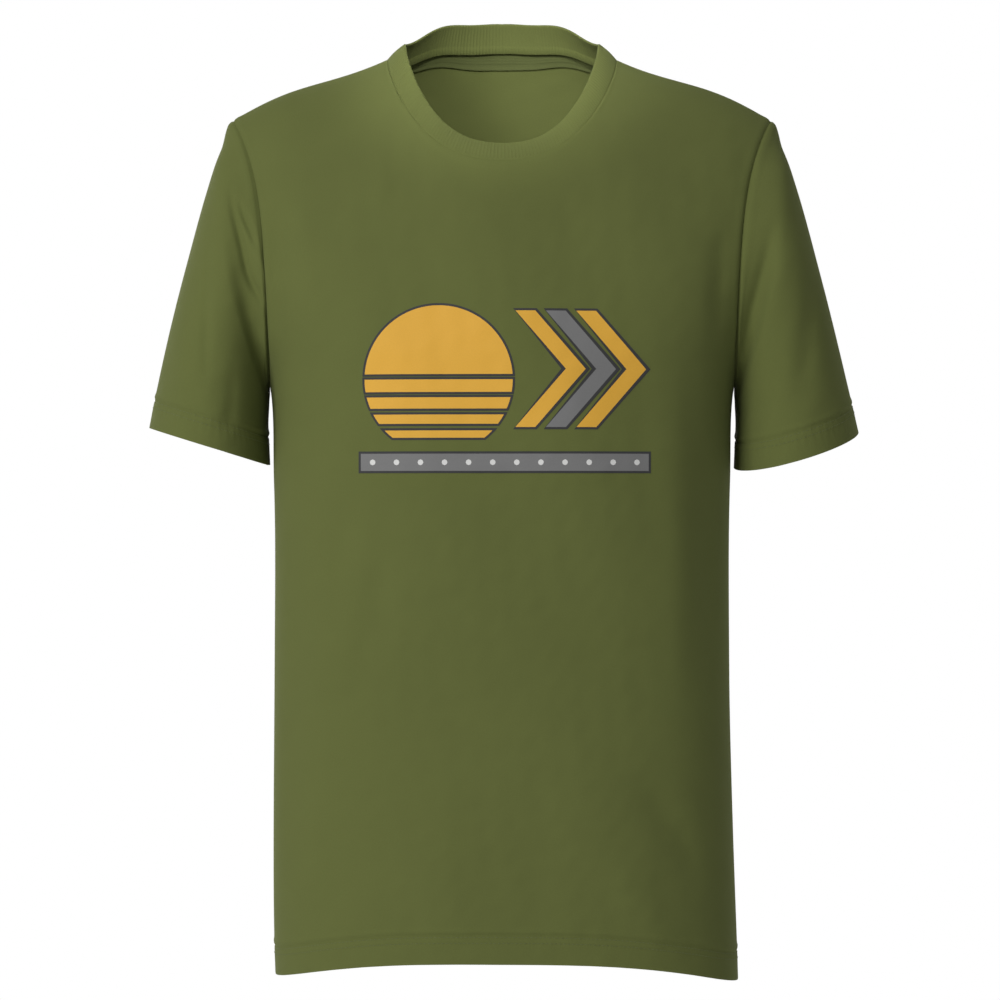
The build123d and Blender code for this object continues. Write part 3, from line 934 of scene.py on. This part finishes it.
def stitchRow(line, outward):
    p = stitchPlan
    length = runAlong(line, 0)
    count = int(length[-1] / (p["length"] + p["gap"]))
    pitch = length[-1] / count
    starts = (np.arange(count) + 0.5) * pitch
    shares = np.linspace(0, 1, p["rings"])
    at = starts[:, None] + (shares - 0.5) * (pitch - p["gap"])
    centre, out = valuesAt(at, length, line), valuesAt(at, length, outward)
    ahead = centre[:, -1:] - centre[:, :1]
    ahead = ahead / np.linalg.norm(ahead, axis=-1, keepdims=True)
    across = np.cross(ahead, out)
    arch = np.sin(math.pi * shares)[None, :, None]
    centre = centre + out * (arch - 0.5) * p["radius"]
    size = p["radius"] * np.sqrt(np.clip(1 - (2 * shares - 1) ** 4, p["tipSize"], 1))[None, :, None, None]
    spin = np.linspace(0, 2 * math.pi, p["sides"], endpoint=False)
    ring = np.cos(spin)[:, None] * across[:, :, None] + np.sin(spin)[:, None] * out[:, :, None]
    points = centre[:, :, None] + ring * size
    index = np.arange(points[..., 0].size).reshape(points.shape[:3])
    turned = np.roll(index, -1, 2)
    walls = np.stack([index[:, :-1], turned[:, :-1], turned[:, 1:], index[:, 1:]], -1).reshape(-1, 4)
    caps = np.concatenate([index[:, 0, ::-1], index[:, -1]])
    return points.reshape(-1, 3), walls, caps


def makeThread(name, rows):
    points, faces, start = [], [], 0
    for line, outward in rows:
        more, walls, caps = stitchRow(line, outward)
        points.append(more)
        faces += (walls + start).tolist() + (caps + start).tolist()
        start += len(more)
    mesh = newMesh(name, np.concatenate(points), faces)
    return finishPiece(name, mesh, materials["thread"])


def makeThreads():
    def rowsOn(cloth, loop):
        return [hemLine(*cloth, height, loop) for height in stitchPlan["needleRows"]]

    threads = [makeThread("body_hem_thread", sum((rowsOn(cloth, False) for cloth in panels.values()), []))]
    for name, cloth in sleeves.items():
        threads.append(makeThread(name.replace("cloth", "hem_thread"), rowsOn(cloth, True)))
    return threads


threads = makeThreads()
print("hem stitches made")


printPlan = {  # a plain geometric design, placed by its middle
    "middle": (2.0, -263.0),
    "cell": 1.8,
    "outline": 1.7,
    "chevronOutlines": (0.6, 2.0),  # shares of the outline's width, at the outer corners and at the points
    "sink": 0.05,
    "castFrom": -400.0,  # the design is cast on the cloth from here
    "levels": (0.20, 0.28, 0.36),  # thickness of ink over the cloth, layer on layer
    "discMiddle": (-50.0, 9.0),
    "discRadius": 56.0,
    "discBands": ((4.0, 56.0), (-9.5, 0.0), (-22.0, -13.5), (-33.5, -26.5), (-44.0, -38.5)),
    "chevronStarts": (8.0, 31.0, 54.0),
    "chevronInks": ("yellow", "grey", "yellow"),
    "chevronHalfHeight": 44.0,
    "chevronMiddle": 17.0,
    "chevronWidth": 15.0,
    "chevronReach": 38.0,
    "bar": ((-109.0, -60.0), (109.0, -47.0)),
    "dots": 12,
    "dotRadius": 2.2,
}


def quadPatch(corners):
    # a grid of points between four corners: low left, low right, high right, high left
    a, b, c, d = (np.array(corner, float) for corner in corners)
    columns = max(1, math.ceil(max(np.linalg.norm(b - a), np.linalg.norm(c - d)) / printPlan["cell"]))
    rows = max(1, math.ceil(max(np.linalg.norm(d - a), np.linalg.norm(c - b)) / printPlan["cell"]))
    s, t = np.linspace(0, 1, columns + 1)[None, :, None], np.linspace(0, 1, rows + 1)[:, None, None]
    return (1 - s) * (1 - t) * a + s * (1 - t) * b + s * t * c + (1 - s) * t * d


def discPatch(middle, radius, low, high):
    # the part of a disc between two heights over its middle
    low, high = max(low, -radius * 0.999), min(high, radius * 0.999)
    start, end = math.asin(low / radius), math.asin(high / radius)
    rows = max(2, math.ceil((end - start) * radius / printPlan["cell"]))
    turn = np.linspace(start, end, rows + 1)[:, None]
    columns = math.ceil(2 * radius / printPlan["cell"])
    s = np.linspace(-1, 1, columns + 1)[None]
    x, z = middle[0] + radius * np.cos(turn) * s, middle[1] + radius * np.sin(turn) + 0 * s
    return np.stack([x, z], -1)


def onCloth(patch, tree):
    middle = printPlan["middle"]
    placed = np.empty(patch.shape[:2] + (3,))
    normals = np.empty_like(placed)
    for i in np.ndindex(patch.shape[:2]):
        x, z = patch[i] + middle
        hit, normal, _, _ = tree.ray_cast(Vector((x, printPlan["castFrom"], z)), Vector((0, 1, 0)))
        placed[i], normals[i] = hit, normal
    return placed, normals


def makePrint():
    p = printPlan
    outer = panels[True][0]
    rows, columns = outer.shape[:2]
    quads = gridQuads(np.arange(rows * columns).reshape(rows, columns))
    tree = BVHTree.FromPolygons(outer.reshape(-1, 3).tolist(), quads.tolist())
    shapes = {ink: [] for ink in inks}
    line = p["outline"]
    corner, point = (share * line for share in p["chevronOutlines"])
    for low, high in p["discBands"]:
        edge = discPatch(p["discMiddle"], p["discRadius"] + line, low - line, high + line)
        shapes["charcoal"].append((edge, 0))
        shapes["yellow"].append((discPatch(p["discMiddle"], p["discRadius"], low, high), 1))
    halfHeight, width, reach = p["chevronHalfHeight"], p["chevronWidth"], p["chevronReach"]
    for start, ink in zip(p["chevronStarts"], p["chevronInks"]):
        for sign in (1, -1):
            z = p["chevronMiddle"]
            corners = [(start, z + sign * halfHeight), (start + width, z + sign * halfHeight),
                       (start + width + reach, z), (start + reach, z)]
            edge = [(start - line, z + sign * (halfHeight + line)),
                    (start + width + corner, z + sign * (halfHeight + line)),
                    (start + width + reach + point, z), (start + reach - point, z)]
            shapes["charcoal"].append((quadPatch(edge), 0))
            shapes[ink].append((quadPatch(corners), 1))
    (x0, z0), (x1, z1) = p["bar"]
    for ink, grow, level in (("charcoal", line, 0), ("grey", 0, 1)):
        (left, low), (right, high) = (x0 - grow, z0 - grow), (x1 + grow, z1 + grow)
        shapes[ink].append((quadPatch([(left, low), (right, low), (right, high), (left, high)]), level))
    for i in range(p["dots"]):
        at = (x0 + (x1 - x0) * (i + 0.5) / p["dots"], (z0 + z1) / 2)
        shapes["light"].append((discPatch(at, p["dotRadius"], -p["dotRadius"], p["dotRadius"]), 2))
    pieces = []
    for ink, patches in shapes.items():
        parts = []
        for k, (patch, level) in enumerate(patches):
            placed, normals = onCloth(patch, tree)
            if np.sum(normals[..., 1]) > 0:
                normals = -normals
            top, bottom = placed + normals * p["levels"][level], placed - normals * p["sink"]
            uv = patch + np.array(p["middle"])
            parts.append(makePiece(f"print_{ink}_{k}", top, bottom, uv, inks[ink]))
        pieces.append(joinPieces(f"print_{ink}", parts))
    return pieces


def joinPieces(name, parts):
    bpy.ops.object.select_all(action="DESELECT")
    for part in parts:
        part.select_set(True)
    bpy.context.view_layer.objects.active = parts[0]
    bpy.ops.object.join()
    whole = bpy.context.view_layer.objects.active
    whole.name = name
    whole.data.name = name
    return whole


prints = makePrint()
print("print made")


stagePlan = {
    "floorHeight": -1.6,
    "floorSize": 9.0,
    "floorGlow": 0.6,  # lifts the floor to white where the camera sees it
    "fill": 0.26,  # strength of the surrounding light on the shirt
    "aim": (0.0, 0.0, -0.33),
    "blend": 0.6,  # softness of the edge of a cone of light
    "lamps": {
        "key": {"place": (-1.9, -2.6, 1.1), "size": 1.6, "power": 76.0},
        "side": {"place": (2.4, -1.6, 0.4), "size": 2.0, "power": 0.1},
        "back": {"place": (-0.6, 2.8, 1.2), "size": 2.0, "power": 50.0},
        "neck": {"place": (0.0, -0.6, 0.26), "size": 0.05, "power": 15.0,  # into the back of the neck
                 "aim": (0.0, 0.06, -0.015), "cone": 22.0},
    },
}


def seesWhite(nodes):
    path = nodes.add("ShaderNodeLightPath").outputs
    either = nodes.math("MAXIMUM", path["Is Camera Ray"], path["Is Glossy Ray"])
    return nodes.math("MAXIMUM", either, path["Is Transmission Ray"])


def makeStage():
    s = stagePlan
    world = bpy.data.worlds.new("studio")
    bpy.context.scene.world = world
    n = emptyNodes(world)
    strength = n.math("ADD", n.math("MULTIPLY", seesWhite(n), 1 - s["fill"]), s["fill"])
    back = n.add("ShaderNodeBackground", {"Color": (1, 1, 1, 1), "Strength": strength})
    n.add("ShaderNodeOutputWorld", {"Surface": back.outputs[0]})
    bpy.ops.mesh.primitive_plane_add(size=s["floorSize"], location=(0, 0, s["floorHeight"]))
    floor = bpy.context.active_object
    floor.name = "studio_floor"
    material = bpy.data.materials.new("pale floor")
    n = emptyNodes(material)
    shade = n.add("ShaderNodeBsdfDiffuse", {"Color": (0.82, 0.82, 0.81, 1)}).outputs[0]
    glow = n.add("ShaderNodeEmission", {"Color": (1, 1, 1, 1), "Strength": s["floorGlow"]}).outputs[0]
    lit = n.add("ShaderNodeAddShader", {0: shade, 1: glow}).outputs[0]
    mix = n.add("ShaderNodeMixShader", {"Fac": seesWhite(n), 1: shade, 2: lit}).outputs[0]
    n.add("ShaderNodeOutputMaterial", {"Surface": mix})
    floor.data.materials.append(material)


def addLamp(name, place, size, power, aim=stagePlan["aim"], cone=None):
    data = bpy.data.lights.new(name, "SPOT" if cone else "AREA")
    if cone:
        data.spot_size, data.spot_blend = math.radians(cone), stagePlan["blend"]
        data.shadow_soft_size = size
    else:
        data.size = size
    data.energy = power
    lamp = bpy.data.objects.new(name, data)
    bpy.context.scene.collection.objects.link(lamp)
    lamp.location = place
    lamp.rotation_euler = (Vector(aim) - Vector(place)).to_track_quat("-Z", "Y").to_euler()


makeStage()
for lampName, lamp in stagePlan["lamps"].items():
    addLamp(lampName, **lamp)

cameraPlan = {"place": (-0.0016, -3.0, -0.345), "lens": 137.6, "sensor": 36.0}
cameraData = bpy.data.cameras.new("photo")
cameraData.lens = cameraPlan["lens"]
cameraData.sensor_width = cameraPlan["sensor"]
camera = bpy.data.objects.new("photo", cameraData)
bpy.context.scene.collection.objects.link(camera)
camera.location = cameraPlan["place"]
camera.rotation_euler = (math.pi / 2, 0, 0)
bpy.context.scene.camera = camera
bpy.context.scene.view_settings.view_transform = "Standard"
print("stage set")
